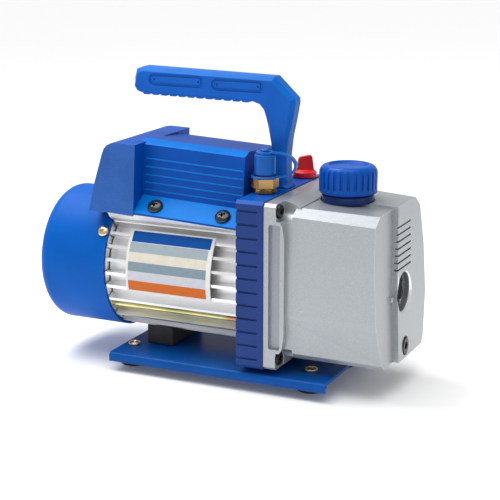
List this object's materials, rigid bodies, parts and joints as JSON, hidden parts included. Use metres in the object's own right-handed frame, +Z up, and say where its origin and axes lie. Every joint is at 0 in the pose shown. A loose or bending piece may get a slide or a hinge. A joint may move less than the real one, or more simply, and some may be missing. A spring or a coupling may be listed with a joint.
{
  "type": "rotary vane vacuum pump",
  "caption": "Portable single-stage rotary vane vacuum pump: finned motor, ribbed bracket, oil casing with sight glass, terminal box and carrying handle on a bent-sheet base",
  "frame": {"origin": "on the floor, under the middle of the pump's bounding box", "axes": "+X along the motor axis from the fan end to the oil casing, +Z up, -Y the side with the rating label"},
  "size_m": [0.2664, 0.1092, 0.2143],
  "materials": {
    "blue_plastic": "moulded, satin",
    "blue_paint": "satin powder coat",
    "silver_paint": "metallic silver paint",
    "cast_aluminium": "die cast, lightly blasted",
    "zinc_steel": "yellow zinc plating",
    "black_steel": "black oxide",
    "bright_steel": "ground",
    "brass": "turned",
    "copper": "varnished copper wire",
    "rubber": "matte",
    "black_plastic": "matte",
    "red_plastic": "glossy",
    "label_film": "printed film, bands of colour and no lettering",
    "glass": "clear"
  },
  "bodies": {
    "chassis": {"base_plate": "blue_paint", "motor_support": "rubber", "stator_housing": "cast_aluminium", "stator_core": "bright_steel", "winding_rear": "copper", "winding_front": "copper", "rear_end_shield": "cast_aluminium", "rear_bearing": "bright_steel", "fan_cover": "blue_paint", "cover_screw_near": "zinc_steel", "cover_screw_far": "zinc_steel", "label_plate": "label_film", "terminal_box": "blue_plastic", "switch_bezel": "black_plastic", "power_inlet": "black_plastic", "capacitor": "black_plastic", "pump_bracket": "blue_paint", "front_bearing": "bright_steel", "shaft_seal": "rubber", "oil_casing": "silver_paint", "sight_glass": "glass", "filler_neck": "blue_plastic", "pump_cylinder": "bright_steel", "end_plate": "bright_steel", "inlet_fitting": "brass", "handle": "blue_plastic", "foot_rear_near": "rubber", "foot_screw_rear_near": "zinc_steel", "foot_rear_far": "rubber", "foot_screw_rear_far": "zinc_steel", "foot_front_near": "rubber", "foot_screw_front_near": "zinc_steel", "foot_front_far": "rubber", "foot_screw_front_far": "zinc_steel", "tie_rod_low_near": "zinc_steel", "casing_screw_low_near": "black_steel", "tie_rod_high_near": "zinc_steel", "casing_screw_high_near": "black_steel", "tie_rod_low_far": "zinc_steel", "casing_screw_low_far": "black_steel", "tie_rod_high_far": "zinc_steel", "casing_screw_high_far": "black_steel", "box_screw_near_rear": "black_steel", "box_screw_near_front": "black_steel", "box_screw_far_rear": "black_steel", "box_screw_far_front": "black_steel"},
    "rotor": {"motor_shaft": "bright_steel", "rotor_core": "bright_steel", "cooling_fan": "black_plastic", "pump_rotor": "bright_steel"},
    "vane_near": {"vane_near": "black_plastic"},
    "vane_far": {"vane_far": "black_plastic"},
    "cap_lift": {"cap_seal": "rubber"},
    "oil_cap": {"oil_cap": "blue_plastic"},
    "exhaust_plug": {"exhaust_plug": "red_plastic"},
    "inlet_cap": {"inlet_cap": "blue_plastic", "cap_strap": "blue_plastic"},
    "drain_plug": {"drain_plug": "black_steel"},
    "power_rocker": {"power_rocker": "black_plastic"},
    "discharge_valve": {"discharge_valve": "bright_steel"}
  },
  "joints": [
    {"name": "rotor_spin", "type": "hinge", "parent": "chassis", "child": "rotor", "pos_m": [0, 0, 0.0722], "axis": [1, 0, 0], "continuous": true},
    {"name": "vane_near_slide", "type": "slide", "parent": "rotor", "child": "vane_near", "axis": [0, -1, 0], "range_m": [0, 0.003]},
    {"name": "vane_far_slide", "type": "slide", "parent": "rotor", "child": "vane_far", "axis": [0, 1, 0], "range_m": [0, 0.003]},
    {"name": "oil_cap_lift", "type": "slide", "parent": "chassis", "child": "cap_lift", "axis": [0, 0, 1], "range_m": [0, 0.009]},
    {"name": "oil_cap_turn", "type": "hinge", "parent": "cap_lift", "child": "oil_cap", "pos_m": [0.0883, 0, 0.1359], "axis": [0, 0, 1], "range_deg": [0, 1080]},
    {"name": "exhaust_plug_pull", "type": "slide", "parent": "chassis", "child": "exhaust_plug", "axis": [0, 0, 1], "range_m": [0, 0.01]},
    {"name": "inlet_cap_pull", "type": "slide", "parent": "chassis", "child": "inlet_cap", "axis": [0, 0, 1], "range_m": [0, 0.009], "deforming": ["cap_strap"]},
    {"name": "drain_plug_withdraw", "type": "slide", "parent": "chassis", "child": "drain_plug", "axis": [1, 0, 0], "range_m": [0, 0.01]},
    {"name": "power_rocker_tilt", "type": "hinge", "parent": "chassis", "child": "power_rocker", "pos_m": [-0.08103, -0.024, 0.14707], "axis": [0.2386, 0, 0.9711], "range_deg": [0, 18]},
    {"name": "discharge_valve_lift", "type": "hinge", "parent": "chassis", "child": "discharge_valve", "pos_m": [0.063, -0.002, 0.09855], "axis": [1, 0, 0], "range_deg": [0, 5], "stiffness_Nm_per_rad": 0.02}
  ],
  "couplings": [
    {"joint": "oil_cap_turn", "follows": "oil_cap_lift", "rad_per_m": 2094}
  ]
}
